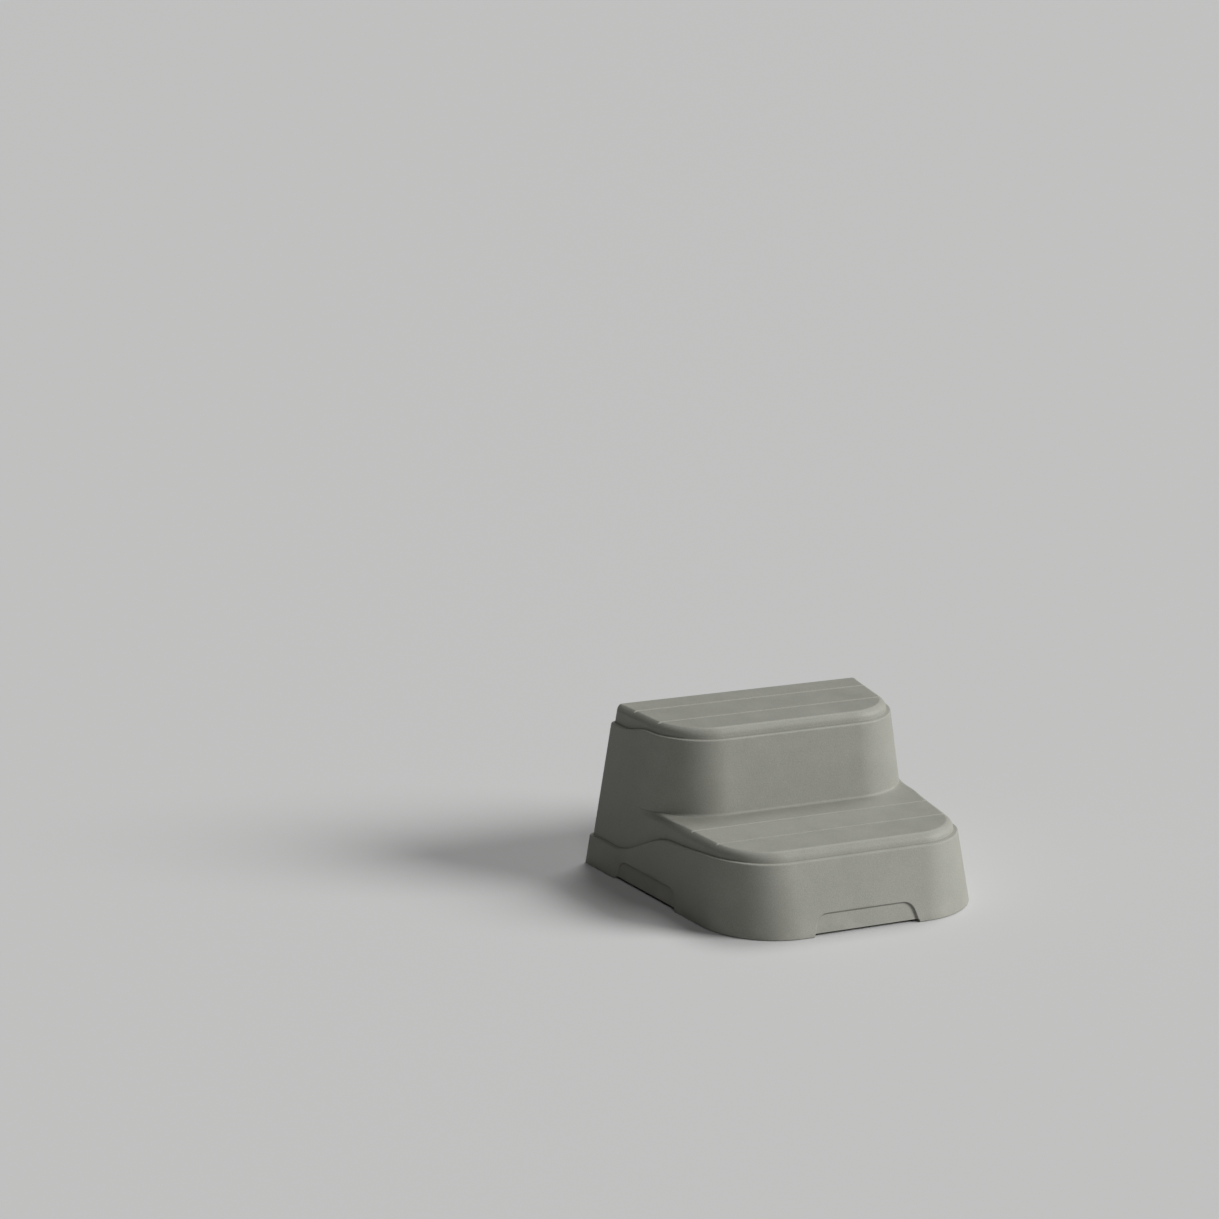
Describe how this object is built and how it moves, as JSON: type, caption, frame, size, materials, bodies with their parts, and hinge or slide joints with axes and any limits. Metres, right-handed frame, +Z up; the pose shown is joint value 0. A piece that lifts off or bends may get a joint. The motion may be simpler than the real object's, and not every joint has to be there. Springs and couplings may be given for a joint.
{
  "type": "spa steps",
  "caption": "Two-tier moulded steps for getting in and out of a spa tub: rounded front corners, grooved treads, wavy ledges and rubber corner feet.",
  "frame": {"origin": "on the floor, in the middle of the footprint's bounding box", "axes": "+X to the user's right along the treads, +Y towards the spa, +Z up"},
  "size_m": [0.8084, 0.6797, 0.387],
  "materials": {
    "shell_plastic": "taupe-grey rotomoulded polyethylene with a fine matte grain",
    "pad_rubber": "black rubber",
    "hardware_steel": "stainless steel",
    "insert_brass": "turned brass",
    "plug_plastic": "darker grey polyethylene",
    "seal_rubber": "black rubber"
  },
  "bodies": {
    "shell": {"step_shell": "shell_plastic", "foot_pad_front_left": "pad_rubber", "foot_pad_front_right": "pad_rubber", "foot_pad_back_left": "pad_rubber", "foot_pad_back_right": "pad_rubber", "foot_washer_front_left": "hardware_steel", "foot_washer_front_right": "hardware_steel", "foot_washer_back_left": "hardware_steel", "foot_washer_back_right": "hardware_steel", "foot_screw_front_left": "hardware_steel", "foot_screw_front_right": "hardware_steel", "foot_screw_back_left": "hardware_steel", "foot_screw_back_right": "hardware_steel", "foot_insert_front_left": "insert_brass", "foot_insert_front_right": "insert_brass", "foot_insert_back_left": "insert_brass", "foot_insert_back_right": "insert_brass", "drain_sleeve": "plug_plastic"},
    "drain_plug": {"drain_plug": "plug_plastic", "drain_seal": "seal_rubber"}
  },
  "joints": [
    {"name": "drain_plug_slide", "type": "slide", "parent": "shell", "child": "drain_plug", "axis": [0, 1, 0], "range_m": [0, 0.032]}
  ]
}
